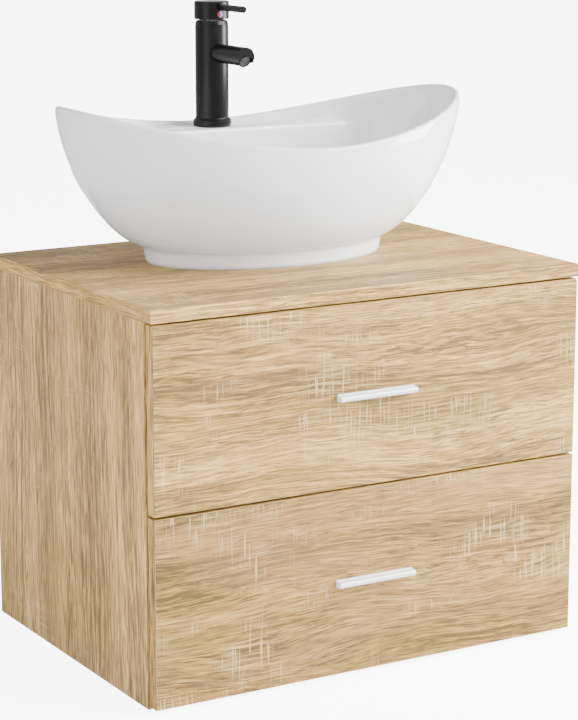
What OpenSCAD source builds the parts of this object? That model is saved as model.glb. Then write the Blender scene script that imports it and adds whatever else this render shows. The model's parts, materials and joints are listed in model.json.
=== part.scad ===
// Wall-hung bathroom vanity with two drawers, a boat-shaped vessel basin and a
// single-lever mixer tap. Millimetres, +Z up, -Y is the front. The origin is the
// centre of the cabinet's underside.

/* [Cabinet] */
// Overall width
cab_w = 600; // [580:10:640]
// Depth, from the wall to the face of the drawers
cab_d = 440; // [436:2:460]
// Height to the top of the counter
cab_h = 478; // [472:2:500]
// Thickness of the melamine boards
board = 16; // [15:0.5:18]
// Gap between a side's outer face and the end of a drawer front
front_reveal = 2; // [1:0.5:4]
// Gap between the two drawer fronts
front_gap = 3; // [2:0.5:5]

/* [Drawers] */
// Thickness of the drawer side boards
side_t = 12; // [12:1:15]
// Height of the upper drawer's sides
upper_box_h = 136; // [120:4:140]
// Height of the lower drawer's sides
lower_box_h = 156; // [130:4:160]
// Length of the drawer sides, and of the runners
box_len = 388; // [370:2:388]
// How far a drawer pulls out
drawer_travel = 370; // [300:10:370]
// Clear width of the notch round the waste trap
notch_w = 150; // [130:10:170]

/* [Handles] */
// Length of a bar handle
handle_len = 108; // [106:2:140]
// Spacing of a handle's two screws
handle_holes = 96; // [64:32:96]

/* [Basin] */
// Length over the pointed ends
basin_len = 560; // [550:2:580]
// Width, front to back
basin_wid = 348; // [344:2:356]
// Height of the rim at the middle
rim_mid_h = 154; // [150:1:160]
// Height of the rim at the two ends
rim_end_h = 202; // [190:1:210]
// Height of the flat tap deck
deck_h = 150; // [146:1:150]
// Height of the bowl's floor
floor_h = 26; // [25:1:30]

/* [Tap] */
// Height of the tap above the deck
tap_h = 162; // [160:1:170]
// Diameter of the tap's body
tap_d = 43.5; // [43:0.5:45]
// Height of the spout's axis above the deck
spout_h = 96; // [94:1:100]
// Reach of the spout from the tap's axis
spout_reach = 91; // [85:1:110]
// Reach of the lever from the tap's axis
lever_reach = 86; // [80:1:100]

/* [Hidden] */
$fn = 64;
eps = 0.5;

// Cabinet, worked out from the driving sizes
half_w = cab_w / 2;
back_y = cab_d / 2;
front_y = -back_y;
inner_x = half_w - board;
top_under = cab_h - board;
front_back_y = front_y + board;
carcass_y = front_back_y + 2;
rail_y = back_y - board;
front_w = cab_w - 2 * front_reveal;
front_low_z = 3.5;
front_split_z = 235;
front_top_z = top_under - 2.5;
lower_front_h = front_split_z - front_gap / 2 - front_low_z;
upper_front_z = front_split_z + front_gap / 2;
upper_front_h = front_top_z - upper_front_z;
upper_rail_h = 70;
lower_rail_h = 60;

// Knock-down joints
cam_d = 15;
cam_depth = 12.5;
cam_inset = 24;
dowel_d = 8;
dowel_offset = 20;
pilot_d = 5;
joint_y = 150;
top_joints = [for (y = [-joint_y, joint_y]) [[inner_x + board / 2, y, top_under], 0, 180]];
bottom_joints = [for (y = [-joint_y, joint_y]) [[inner_x, y, board / 2], 90, 180]];
upper_rail_joints = [[[inner_x, rail_y + board / 2, top_under - upper_rail_h / 2], 90, -90]];
lower_rail_joints = [[[inner_x, rail_y + board / 2, board + lower_rail_h / 2], 90, -90]];
rail_joints = concat(upper_rail_joints, lower_rail_joints);
all_joints = concat(top_joints, bottom_joints, rail_joints);

// Wall brackets
bracket_t = 2;
bracket_w = 60;
bracket_leg = 42;
bracket_h = 50;
bracket_z = top_under - upper_rail_h / 2;
bracket_hole_d = 8;
bracket_hole_x = inner_x - 46;
bracket_screw_zs = [bracket_z - bracket_h / 2 + 8, bracket_z + bracket_h / 2 - 8];

// Runners: 12.7 mm between the carcass and the drawer
runner_gap = 12.7;
runner_h = 42;
runner_t = 1.2;
runner_y0 = front_back_y + 4;
runner_len = box_len - 4;
box_out_x = inner_x - runner_gap;
box_in_x = box_out_x - side_t;
box_y1 = front_back_y + box_len;
upper_box_z = 262;
lower_box_z = 28;
upper_runner_z = upper_box_z + 60;
lower_runner_z = lower_box_z + 70;
runner_screw_ys = [front_y + 60, back_y - 90];
member_screw_d = 3;

// Drawer boards
bottom_t = 4;
groove = 5;
groove_z = 10;
groove_play = 0.15;
notch_x = notch_w / 2;
notch_y = -12;
handle_screw_d = 4;
upper_handle_z = upper_front_z + upper_front_h / 2;
lower_handle_z = front_low_z + lower_front_h / 2;
handle_depth = 12;

// Basin
basin_y = back_y - basin_wid / 2;
counter_z = cab_h;
half_len = basin_len / 2;
half_wid = basin_wid / 2;
foot_h = 20;
foot_a = 164;
foot_b = 108;
foot_draft = 3;
foot_wall = 13;
recess_h = 14;
rim_t = 9;
plan_power = 1.88;
belly_power = 1.58;
bowl_power = 2.6;
rise_power = 1.75;
floor_r = 58;
deck_y = 102;
deck_round = 5;
rim_start = 16;
around = 64;
belly_rings = 9;
rim_rings = 4;
bowl_rings = 9;
ceramic_t = 12;
cavity_half_w = 45;
waste_hole_d = 46;
tap_hole_d = 35;
tap_y = back_y - 40;
hose_hole_y = basin_y + 74;
hose_hole_d = 36;

// Waste and trap
waste_tube_d = 41.9;
waste_bore_d = 34;
waste_flange_d = 64;
waste_bottom_z = counter_z - 40;
guide_d = 8;
plug_lift = 8;
trap_axis_z = 350;
trap_neck_d = 40;
trap_head_d = 66;
trap_cup_d = 60;
trap_head_z = trap_axis_z - 22;
trap_head_h = 48;
trap_cup_z = trap_head_z - 66;
dip_d = 32;
outlet_d = 32;
outlet_free_y = basin_y + 72;
outlet_end_y = back_y - 2;

// Tap
deck_z = counter_z + deck_h;
gasket_t = 1;
body_z = deck_z + gasket_t;
tap_top_z = deck_z + tap_h;
flange_d = 50;
flange_straight = 7;
flange_total = 11;
cap_d = 45.5;
cap_h = 23;
cap_z = tap_top_z - cap_h;
ring_top_z = cap_z - 2;
ring_z = ring_top_z - 5;
tap_bore_d = 37.6;
cartridge_z = ring_z - 19;
pivot_z = ring_top_z - 7;
turret_d = 26;
running = 0.05;
pin_d = 3;
stem_x = 8;
stem_y = 6;
skirt_r = 20.5;
skirt_depth = 14;
boss_d = 14;
spout_z = deck_z + spout_h;
spout_d = 24.5;
waterway_d = 14;
aerator_d = 17;
aerator_tilt = 60;
aerator_out = 11;
lever_d = 8.5;
lever_z = tap_top_z - 6.7;
indicator_d = 8.5;
indicator_z = cap_z + 7;
grub_d = 5;
tail_d = 10;
tail_free = 14;
tail_upper_d = 9.6;
tail_x = 8.5;
tail_end_z = deck_z - 52;
stud_d = 8;
stud_y = tap_y - 12;

oak = "burlywood";
oak_inside = "wheat";
steel = "lightsteelblue";
zinc = "silver";
white = "whitesmoke";
black = "dimgray";

// ---- shared shapes -------------------------------------------------------

// A box given by its lowest and highest corners
module span(low, high) { translate(low) cube(high - low); }

// A cylinder along Y, from y0 to y1
module rod_y(d, y0, y1) { translate([0, y0, 0]) rotate([-90, 0, 0]) cylinder(d = d, h = y1 - y0); }

// A cylinder along X, from x0 to x1
module rod_x(d, x0, x1) { translate([x0, 0, 0]) rotate([0, 90, 0]) cylinder(d = d, h = x1 - x0); }

// A ring standing on z = 0
module ring(outer, inner, h) {
    difference() {
        cylinder(d = outer, h = h);
        translate([0, 0, -eps]) cylinder(d = inner, h = h + 2 * eps);
    }
}

// Both mirror images of what is drawn on the right
module both_sides() { for (s = [0, 1]) mirror([s, 0, 0]) children(); }

// ---- carcass joints ------------------------------------------------------
// Each joint has its origin on the board's edge, its Z into the mating board
// and its X out of the face that the cam lock goes into.

module each_joint(joints) {
    both_sides() for (j = joints) translate(j[0]) rotate([0, j[1], 0]) rotate([0, 0, j[2]]) children();
}

module cam_board_holes() {
    translate([0, 0, -cam_inset]) rod_x(cam_d, board / 2 - cam_depth, board / 2 + eps);
    translate([0, 0, -cam_inset]) cylinder(d = dowel_d, h = cam_inset + eps);
    translate([0, dowel_offset, -cam_inset]) cylinder(d = dowel_d, h = cam_inset + eps);
}

module mate_board_holes() {
    translate([0, 0, -eps]) cylinder(d = pilot_d, h = 11 + eps);
    translate([0, dowel_offset, -eps]) cylinder(d = dowel_d, h = 10 + eps);
}

module cam_lock() {
    slot_w = 7.4;
    difference() {
        translate([0, 0, -cam_inset]) rod_x(cam_d - 0.2, board / 2 - cam_depth + 0.1, board / 2 - 0.2);
        translate([0, 0, -cam_inset - 3]) cylinder(d = slot_w, h = cam_d);
        translate([board / 2 - 1, 0, -cam_inset]) cube([4, 1.4, 9], center = true);
    }
}

module cam_bolt() {
    translate([0, 0, -cam_inset - 2]) cylinder(d = 7, h = 3);
    translate([0, 0, -cam_inset]) cylinder(d = 5.2, h = cam_inset - 2);
    translate([0, 0, -3]) cylinder(d = 7, h = 2.8);
    translate([0, 0, -1]) cylinder(d = pilot_d - 0.1, h = 11.5);
}

module dowel() { translate([0, dowel_offset, -cam_inset + 1]) cylinder(d = dowel_d - 0.1, h = cam_inset + 8); }

// Pan-head screw: its head stands on z = 0 and its shank runs down from there
module screw(d, length, head_d, head_h) {
    cylinder(d = head_d, h = head_h);
    translate([0, 0, -length]) cylinder(d = d, h = length + eps);
}

// ---- carcass boards ------------------------------------------------------

module top_panel() {
    color(oak) difference() {
        span([-half_w, front_y, top_under], [half_w, back_y, cab_h]);
        translate([0, basin_y, top_under - eps]) cylinder(d = waste_hole_d, h = board + 2 * eps);
        translate([0, hose_hole_y, top_under - eps]) cylinder(d = hose_hole_d, h = board + 2 * eps);
        each_joint(top_joints) mate_board_holes();
    }
}

// The right side panel; the left one is its mirror image
module side_panel() {
    difference() {
        span([inner_x, carcass_y, 0], [half_w, back_y, top_under]);
        for (j = top_joints) translate(j[0]) rotate([0, j[1], 0]) rotate([0, 0, j[2]]) cam_board_holes();
        for (j = concat(bottom_joints, rail_joints))
            translate(j[0]) rotate([0, j[1], 0]) rotate([0, 0, j[2]]) mate_board_holes();
        for (z = [upper_runner_z, lower_runner_z], y = runner_screw_ys)
            translate([0, y, z]) rod_x(member_screw_d, inner_x - eps, inner_x + 12);
        for (z = bracket_screw_zs)
            translate([0, rail_y - bracket_leg / 2, z]) rod_x(member_screw_d, inner_x - eps, inner_x + 12);
    }
}

module right_side_panel() { color(oak) side_panel(); }

module left_side_panel() { color(oak) mirror([1, 0, 0]) side_panel(); }

module bottom_panel() {
    color(oak) difference() {
        span([-inner_x, carcass_y, 0], [inner_x, back_y, board]);
        each_joint(bottom_joints) cam_board_holes();
    }
}

module upper_back_rail() {
    color(oak_inside) difference() {
        span([-inner_x, rail_y, top_under - upper_rail_h], [inner_x, back_y, top_under]);
        each_joint(upper_rail_joints) cam_board_holes();
        both_sides() translate([bracket_hole_x, 0, bracket_z])
            rod_y(bracket_hole_d, rail_y - eps, back_y + eps);
    }
}

module lower_back_rail() {
    color(oak_inside) difference() {
        span([-inner_x, rail_y, board], [inner_x, back_y, board + lower_rail_h]);
        each_joint(lower_rail_joints) cam_board_holes();
    }
}

// ---- wall brackets and carcass hardware ----------------------------------

// Steel angle in each top rear corner, with the wall bolt's hole
module wall_bracket() {
    y1 = rail_y;
    difference() {
        union() {
            span([inner_x - bracket_w, y1 - bracket_t, bracket_z - bracket_h / 2],
                 [inner_x, y1, bracket_z + bracket_h / 2]);
            span([inner_x - bracket_t, y1 - bracket_leg, bracket_z - bracket_h / 2],
                 [inner_x, y1, bracket_z + bracket_h / 2]);
        }
        translate([bracket_hole_x, 0, bracket_z]) rod_y(bracket_hole_d, y1 - bracket_t - eps, y1 + eps);
        for (z = bracket_screw_zs)
            translate([0, y1 - bracket_leg / 2, z]) rod_x(member_screw_d + 0.4, inner_x - 9, inner_x + eps);
    }
}

module wall_brackets() { color(zinc) both_sides() wall_bracket(); }

module side_screw(x) {
    translate([x, 0, 0]) rotate([0, -90, 0]) screw(member_screw_d - 0.1, 11, 6, 1.1);
}

module carcass_screws() {
    color(zinc) both_sides() {
        for (z = [upper_runner_z, lower_runner_z], y = runner_screw_ys)
            translate([0, y, z]) side_screw(inner_x - runner_t);
        for (z = bracket_screw_zs) translate([0, rail_y - bracket_leg / 2, z]) side_screw(inner_x - bracket_t);
    }
}

module carcass_cam_locks() { color(zinc) each_joint(all_joints) cam_lock(); }

module carcass_cam_bolts() { color(steel) each_joint(all_joints) cam_bolt(); }

module carcass_dowels() { color(oak_inside) each_joint(all_joints) dowel(); }

// ---- runners -------------------------------------------------------------

// A folded channel along Y: its web at u0, its lips from u0 to u1, half height h
module channel(u0, u1, h, y0, y1, web_at_u1 = false) {
    web = web_at_u1 ? u1 - runner_t : u0;
    span([web, y0, -h], [web + runner_t, y1, h]);
    for (s = [0, 1]) mirror([0, 0, s]) span([u0, y0, h - runner_t], [u1, y1, h]);
}

// Puts u = 0 on the carcass side's inner face, with u growing towards the drawer
module on_runner(z) { both_sides() translate([inner_x, 0, z]) mirror([1, 0, 0]) children(); }

module runner_cabinet_members() {
    color(steel) for (z = [upper_runner_z, lower_runner_z]) on_runner(z) difference() {
        channel(0, 9.5, runner_h / 2, runner_y0, runner_y0 + runner_len);
        for (y = runner_screw_ys) translate([0, y, 0]) rod_x(member_screw_d + 0.4, -eps, runner_t + eps);
    }
}

// The middle member, with the ball cages that run above and below it
module middle_members(z) {
    cage_t = 2;
    color(zinc) on_runner(z) {
        channel(2.9, 10.4, runner_h / 2 - 4, runner_y0, runner_y0 + runner_len);
        for (s = [0, 1]) mirror([0, 0, s]) {
            span([4.5, runner_y0 + 20, runner_h / 2 - 3.6], [8, runner_y0 + runner_len - 60, runner_h / 2 - 1.6]);
            span([6.6, runner_y0 + 60, runner_h / 2 - 5.4 - cage_t], [9, runner_y0 + 260, runner_h / 2 - 5.4]);
        }
    }
}

module drawer_members(z) {
    color(steel) on_runner(z) difference() {
        channel(6.6, runner_gap, runner_h / 2 - 7.8, runner_y0, runner_y0 + runner_len, true);
        for (y = runner_screw_ys)
            translate([0, y, 0]) rod_x(member_screw_d + 0.4, runner_gap - 3, runner_gap + eps);
    }
}

module upper_runner_middle_members() { middle_members(upper_runner_z); }
module lower_runner_middle_members() { middle_members(lower_runner_z); }
module upper_runner_drawer_members() { drawer_members(upper_runner_z); }
module lower_runner_drawer_members() { drawer_members(lower_runner_z); }

// ---- drawers -------------------------------------------------------------

// The thin bottom of a full drawer, grown by play on every face to cut its grooves
module full_bottom(z, play = 0) {
    span([-box_in_x - groove, front_back_y - groove, z + groove_z] - play * [1, 1, 1],
         [box_in_x + groove, box_y1 - side_t + groove, z + groove_z + bottom_t] + play * [1, 1, 1]);
}

// The same, cut out in a U round the trap
module notched_bottom(z, play = 0) {
    x = notch_x + side_t - groove - play;
    difference() {
        full_bottom(z, play);
        span([-x, notch_y - side_t + groove + play, z], [x, box_y1 + groove, z + 30]);
    }
}

// A front board with its groove, and the through holes for the handle's screws
module front_board(z, h, handle_z) {
    difference() {
        span([-front_w / 2, front_y, z], [front_w / 2, front_back_y, z + h]);
        both_sides() translate([handle_holes / 2, 0, handle_z])
            rod_y(handle_screw_d + 0.5, front_y - eps, front_back_y + eps);
        children();
    }
}

// The right drawer side, with its groove and the runner's pilot holes
module box_side(z, h, runner_z) {
    difference() {
        span([box_in_x, front_back_y, z], [box_out_x, box_y1, z + h]);
        for (y = runner_screw_ys) translate([0, y, runner_z]) rod_x(member_screw_d, box_out_x - 9, box_out_x + eps);
        children();
    }
}

module upper_drawer_front() {
    color(oak) front_board(upper_front_z, upper_front_h, upper_handle_z) notched_bottom(upper_box_z, groove_play);
}

module upper_drawer_right_side() {
    color(oak_inside) box_side(upper_box_z, upper_box_h, upper_runner_z) notched_bottom(upper_box_z, groove_play);
}

module upper_drawer_left_side() {
    color(oak_inside) mirror([1, 0, 0]) box_side(upper_box_z, upper_box_h, upper_runner_z)
        notched_bottom(upper_box_z, groove_play);
}

// Five boards: the two halves of the back, the notch's two cheeks and its front
module upper_drawer_rear_walls() {
    z0 = upper_box_z;
    z1 = upper_box_z + upper_box_h;
    color(oak_inside) difference() {
        union() {
            both_sides() {
                span([notch_x + side_t, box_y1 - side_t, z0], [box_in_x, box_y1, z1]);
                span([notch_x, notch_y, z0], [notch_x + side_t, box_y1, z1]);
            }
            span([-notch_x - side_t, notch_y - side_t, z0], [notch_x + side_t, notch_y, z1]);
        }
        notched_bottom(upper_box_z, groove_play);
    }
}

module upper_drawer_bottom() { color(white) notched_bottom(upper_box_z); }

module lower_drawer_front() {
    color(oak) front_board(front_low_z, lower_front_h, lower_handle_z) full_bottom(lower_box_z, groove_play);
}

module lower_drawer_right_side() {
    color(oak_inside) box_side(lower_box_z, lower_box_h, lower_runner_z) full_bottom(lower_box_z, groove_play);
}

module lower_drawer_left_side() {
    color(oak_inside) mirror([1, 0, 0]) box_side(lower_box_z, lower_box_h, lower_runner_z)
        full_bottom(lower_box_z, groove_play);
}

module lower_drawer_back() {
    color(oak_inside) difference() {
        span([-box_in_x, box_y1 - side_t, lower_box_z], [box_in_x, box_y1, lower_box_z + lower_box_h]);
        full_bottom(lower_box_z, groove_play);
    }
}

module lower_drawer_bottom() { color(white) full_bottom(lower_box_z); }

// Extruded bar: a thin upper lip against the front, and a rounded nose below it
module bar_handle(z) {
    lip_h = 8.6;
    lip_t = 3.2;
    nose_h = 7.4;
    nose_r = 3.7;
    difference() {
        translate([-handle_len / 2, front_y, z]) rotate([90, 0, 90]) linear_extrude(handle_len) {
            translate([-lip_t, -nose_h / 2]) square([lip_t, lip_h]);
            translate([-handle_depth + nose_r, -nose_h / 2]) square([handle_depth - nose_r, nose_h]);
            translate([-handle_depth + nose_r, 0]) circle(r = nose_r, $fn = 32);
        }
        both_sides() translate([handle_holes / 2, 0, z]) rod_y(handle_screw_d, front_y - 8, front_y + eps);
    }
}

module handle_screw_pair(z) {
    both_sides() translate([handle_holes / 2, front_back_y, z]) rotate([-90, 0, 0])
        screw(handle_screw_d - 0.1, board + 7, 8, 2.4);
}

module upper_handle() { color(white) bar_handle(upper_handle_z); }
module lower_handle() { color(white) bar_handle(lower_handle_z); }
module upper_handle_screws() { color(zinc) handle_screw_pair(upper_handle_z); }
module lower_handle_screws() { color(zinc) handle_screw_pair(lower_handle_z); }

// ---- basin ---------------------------------------------------------------
// The glazed skin is lofted from rings of points. Heights are above the counter
// and plan positions are from the bowl's centre.

function mix(a, b, t) = a + (b - a) * t;
function signed_pow(v, e) = sign(v) * pow(abs(v), e);
function smooth(t) = let (c = min(1, max(0, t))) c * c * (3 - 2 * c);

// Plan outline of the rim, inset by d, at ring angle t
function rim_xy(t, d) = [(half_len - d) * signed_pow(cos(t), 2 / plan_power),
                         (half_wid - d) * signed_pow(sin(t), 2 / plan_power)];
function rim_h(t) = mix(rim_mid_h, rim_end_h, pow(abs(rim_xy(t, 0)[0]) / half_len, rise_power));

// Superellipse quarter: how far out and how far down, for s from 0 at the rim to 90
function out_at(s, p) = pow(max(0, cos(s)), 2 / p);
function down_at(s, p) = pow(max(0, sin(s)), 2 / p);

function foot_pt(t, draft, z) = [(foot_a - draft) * cos(t), (foot_b - draft) * sin(t), z];

function belly_pt(t, s) =
    let (f = foot_pt(t, 0, foot_h), r = rim_xy(t, 0), u = out_at(s, belly_power),
         top = rim_h(t) - rim_t / 2)
    [mix(f[0], r[0], u), mix(f[1], r[1], u), mix(top, foot_h, down_at(s, belly_power))];

function rim_pt(t, a) =
    let (p = rim_xy(t, rim_t / 2 * (1 - cos(a))))
    [p[0], p[1], rim_h(t) - rim_t / 2 * (1 - sin(a))];

// How much of the rear outline belongs to the tap deck, 0 or 1 with a short blend
function deck_share(t) = smooth((rim_xy(t, rim_t)[1] - deck_y - 2) / 16);

// Bowl wall below the rim, at the front and the ends
function wall_pt(t, s) =
    let (r = rim_xy(t, rim_t), u = out_at(s, bowl_power), top = rim_h(t) - rim_t / 2)
    [mix(floor_r * cos(t), r[0], u), mix(floor_r * sin(t), r[1], u),
     mix(top, floor_h, down_at(s, bowl_power))];

// Bowl wall below the deck's front edge
function back_wall_pt(t, s) =
    let (r = rim_xy(t, rim_t), u = out_at(s, bowl_power), d = down_at(s, bowl_power))
    [mix(floor_r * cos(t), r[0] * 0.985, u), mix(floor_r * sin(t), min(r[1], deck_y), u),
     mix(deck_h - deck_round, floor_h, d)];

// Outer and inner edges of the deck, the inner one rounded over in two steps
function deck_pt(t, k) =
    let (r = rim_xy(t, rim_t), y = min(r[1], deck_y), w = deck_share(t),
         back = k == 0 ? [r[0] * 0.99, max(y + 3 * deck_round, r[1] - 4), deck_h] :
                k == 1 ? [r[0] * 0.987, y + deck_round, deck_h] :
                         [r[0] * 0.985, y + deck_round * 0.3, deck_h - deck_round * 0.3],
         front = wall_pt(t, rim_start * (k + 1) / 4))
    mix(front, back, w);

function bowl_pt(t, k) =
    let (w = deck_share(t), s0 = mix(rim_start, 0, w), s = mix(s0, 90, k / bowl_rings))
    mix(wall_pt(t, s), back_wall_pt(t, s), w);

function ring_of(k, t) =
    let (b = k - 1, r = b - belly_rings, d = r - rim_rings - 1, w = d - 3)
    k == 0 ? foot_pt(t, foot_draft, 0) :
    b <= belly_rings ? belly_pt(t, 90 * (1 - b / belly_rings)) :
    r <= rim_rings ? rim_pt(t, 180 * r / rim_rings) :
    d < 3 ? deck_pt(t, d) : bowl_pt(t, w);

ring_count = 1 + belly_rings + 1 + rim_rings + 3 + bowl_rings + 1;

module basin_skin() {
    n = around;
    points = concat([for (k = [0:ring_count - 1], i = [0:n - 1]) ring_of(k, 360 * i / n)],
                    [[0, 0, 0], [0, 0, floor_h]]);
    sides = [for (k = [0:ring_count - 2], i = [0:n - 1], half = [0, 1])
        let (a = k * n + i, b = k * n + (i + 1) % n)
        half == 0 ? [a, a + n, b] : [b, a + n, b + n]];
    under = [for (i = [0:n - 1]) [i, (i + 1) % n, ring_count * n]];
    inside = [for (i = [0:n - 1])
        [(ring_count - 1) * n + (i + 1) % n, (ring_count - 1) * n + i, ring_count * n + 1]];
    polyhedron(points = points, faces = concat(sides, under, inside), convexity = 6);
}

// Rear of the belly and rear wall of the bowl at height z, from the centre line
function belly_back(z) =
    let (v = 1 - max(0, z - foot_h) / (rim_mid_h - foot_h))
    mix(foot_b, half_wid, pow(max(0, 1 - pow(v, belly_power)), 1 / belly_power));
function bowl_back(z) =
    let (v = max(0, deck_h - z) / (deck_h - floor_h))
    mix(floor_r, deck_y, pow(max(0, 1 - pow(min(1, v), bowl_power)), 1 / bowl_power));

// Hollow under the tap deck, open below into the foot, for the tap's tails
module deck_cavity() {
    zs = [recess_h - 1, 28, 42, 60, 90, deck_h - ceramic_t];
    rear = [for (z = zs) [min(belly_back(z) - ceramic_t - 1, foot_b - foot_wall + (z - recess_h) * 1.1), z]];
    fore = [for (i = [len(zs) - 1:-1:0]) [bowl_back(zs[i]) + ceramic_t * (i == 0 ? 0.4 : 1), zs[i]]];
    translate([-cavity_half_w, 0, 0]) rotate([90, 0, 90])
        linear_extrude(2 * cavity_half_w) polygon(concat(rear, fore));
}

// Shallow hollow inside the foot
module foot_recess() {
    n = around;
    translate([0, 0, -eps]) linear_extrude(recess_h + eps)
        polygon([for (i = [0:n - 1]) [(foot_a - foot_wall) * cos(360 * i / n), (foot_b - foot_wall) * sin(360 * i / n)]]);
}

module basin() {
    color(white) translate([0, basin_y, counter_z]) difference() {
        basin_skin();
        foot_recess();
        deck_cavity();
        translate([0, 0, -eps]) cylinder(d = waste_hole_d, h = floor_h + 3);
        translate([0, tap_y - basin_y, deck_h - ceramic_t - 2]) cylinder(d = tap_hole_d, h = ceramic_t + 6);
    }
}

// ---- waste ---------------------------------------------------------------

waste_face_z = counter_z + floor_h;

// Flange with its threaded tube, and a cross bar that guides the plug's stem
module waste_flange() {
    flange_t = 3;
    guide_z = waste_face_z - 26;
    color(zinc) translate([0, basin_y, 0]) {
        difference() {
            union() {
                translate([0, 0, waste_face_z + 0.3]) cylinder(d = waste_flange_d, h = flange_t);
                translate([0, 0, waste_bottom_z]) cylinder(d = waste_tube_d, h = waste_face_z + 0.6 - waste_bottom_z);
            }
            translate([0, 0, waste_bottom_z - eps]) cylinder(d = waste_bore_d, h = 100);
            translate([0, 0, waste_face_z + 1]) cylinder(d1 = waste_bore_d, d2 = waste_flange_d - 8, h = 2.6);
        }
        difference() {
            union() {
                translate([-waste_bore_d / 2 - 1, -3, guide_z]) cube([waste_bore_d + 2, 6, 6]);
                translate([0, 0, guide_z]) cylinder(d = 14, h = 6);
            }
            translate([0, 0, guide_z - eps]) cylinder(d = guide_d + 2 * running, h = 7);
        }
    }
}

module waste_seals() {
    color(black) translate([0, basin_y, counter_z + recess_h - 3]) ring(58, waste_tube_d + 0.6, 2.9);
}

module waste_lock_nut() {
    color(zinc) translate([0, basin_y, counter_z + recess_h - 10]) ring(60, waste_tube_d + 0.2, 6.8);
}

// Domed click plug on its stem, drawn open
module waste_plug() {
    dome_z = waste_face_z + 4 + plug_lift;
    color(zinc) translate([0, basin_y, 0]) {
        translate([0, 0, dome_z]) rotate_extrude() polygon([[0, 0], [30, 0], [31, 1], [30.5, 2.2], [22, 4.2],
                                                            [11, 5.2], [0, 5.5]]);
        translate([0, 0, waste_face_z - 34]) cylinder(d = guide_d, h = dome_z - waste_face_z + 34);
    }
}

module plug_seal() {
    color(black) translate([0, basin_y, waste_face_z + 2 + plug_lift]) ring(30, guide_d, 2);
}

// ---- trap ----------------------------------------------------------------

module trap_head() {
    neck_top = waste_bottom_z - 1;
    color(white) translate([0, basin_y, 0]) difference() {
        union() {
            translate([0, 0, trap_head_z]) cylinder(d = trap_head_d, h = trap_head_h);
            translate([0, 0, trap_head_z]) cylinder(d = trap_neck_d, h = neck_top - trap_head_z);
            translate([0, 0, trap_cup_z + 22]) cylinder(d = dip_d, h = trap_head_z - trap_cup_z);
            translate([0, 0, trap_axis_z]) rod_y(trap_neck_d, 0, 58);
        }
        translate([0, 0, trap_cup_z + 20]) cylinder(d = dip_d - 5, h = 300);
        difference() {
            translate([0, 0, trap_head_z - eps]) cylinder(d = trap_head_d - 8, h = trap_head_h - 4);
            translate([0, 0, trap_head_z - 2]) cylinder(d = dip_d, h = trap_head_h + 4);
        }
        translate([0, 0, trap_axis_z]) rod_y(outlet_d + 0.4, dip_d / 2 + 3, 60);
    }
}

module trap_cup() {
    wall = 3;
    color(white) translate([0, basin_y, 0]) difference() {
        union() {
            translate([0, 0, trap_cup_z]) cylinder(d = trap_cup_d, h = trap_head_z - trap_cup_z - 8);
            translate([0, 0, trap_head_z - 12]) cylinder(d = trap_head_d + 4, h = 11.8);
        }
        translate([0, 0, trap_cup_z + wall]) cylinder(d = trap_cup_d - 2 * wall, h = 100);
    }
}

// The inlet nut round the waste tube, and the outlet nut round the pipe
module trap_coupling_nuts() {
    color(white) translate([0, basin_y, 0]) {
        translate([0, 0, waste_bottom_z - 16]) ring(54, waste_tube_d + 0.2, 26);
        translate([0, 48, trap_axis_z]) rotate([-90, 0, 0]) ring(50, trap_neck_d + 0.2, 20);
    }
}

module trap_outlet_pipe() {
    color(white) difference() {
        union() {
            translate([0, 0, trap_axis_z]) rod_y(outlet_d - 0.4, basin_y + 46, outlet_free_y + 1);
            translate([0, 0, trap_axis_z]) rod_y(outlet_d, outlet_free_y, outlet_end_y);
        }
        translate([0, 0, trap_axis_z]) rod_y(outlet_d - 4, basin_y + 40, back_y + 1);
    }
}

// ---- tap -----------------------------------------------------------------

module at_tap(z) { translate([0, tap_y, z]) children(); }

module tap_body() {
    seam = 0.8;
    color(black) difference() {
        at_tap(body_z) union() {
            rotate_extrude() polygon([[0, 0], [flange_d / 2 - 0.8, 0], [flange_d / 2, 0.8],
                [flange_d / 2, flange_straight], [tap_d / 2 + 0.6, flange_total - 1.2],
                [tap_d / 2, flange_total], [tap_d / 2, ring_z - seam - body_z],
                [tap_d / 2 - seam, ring_z - seam - body_z], [tap_d / 2 - seam, ring_z - body_z], [0, ring_z - body_z]]);
        }
        at_tap(cartridge_z) cylinder(d = tap_bore_d, h = 60);
        at_tap(body_z + 46) cylinder(d = waterway_d, h = 100);
        at_tap(spout_z) rotate([0, 0, 180]) rod_y(waterway_d, 0, tap_d);
        for (x = [-tail_x, tail_x]) at_tap(body_z - eps) translate([x, 0, 0]) cylinder(d = tail_upper_d, h = 20 + eps);
        translate([0, stud_y, body_z - eps]) cylinder(d = stud_d, h = 16 + eps);
    }
}

// Frame at the aerator: its origin on the spout's axis and its -Z out of the outlet
module at_aerator() {
    translate([0, tap_y - spout_reach + 13, spout_z - 1]) rotate([-aerator_tilt, 0, 0]) children();
}

module tap_spout() {
    color(black) difference() {
        at_tap(spout_z) rotate([0, 0, 180]) rod_y(spout_d, 0, spout_reach);
        at_tap(body_z) cylinder(d = tap_d, h = 200);
        at_tap(spout_z) rotate([0, 0, 180]) rod_y(waterway_d, 0, spout_reach - 14);
        at_aerator() translate([0, 0, -40]) cylinder(d = aerator_d + 1.6, h = 40);
    }
}

module aerator_housing() {
    color(black) at_aerator() difference() {
        translate([0, 0, -aerator_out]) cylinder(d = aerator_d, h = aerator_out - 0.4);
        translate([0, 0, -aerator_out - eps]) cylinder(d = aerator_d - 3, h = 30);
    }
}

module aerator_insert() {
    insert_d = aerator_d - 3.1;
    color(zinc) at_aerator() translate([0, 0, -aerator_out + 0.8]) difference() {
        cylinder(d = insert_d, h = 4);
        for (r = [2, 4, 6]) translate([0, 0, -eps]) difference() {
            cylinder(r = r + 0.5, h = 1.5);
            translate([0, 0, -eps]) cylinder(r = r - 0.5, h = 4);
        }
    }
}

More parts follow.
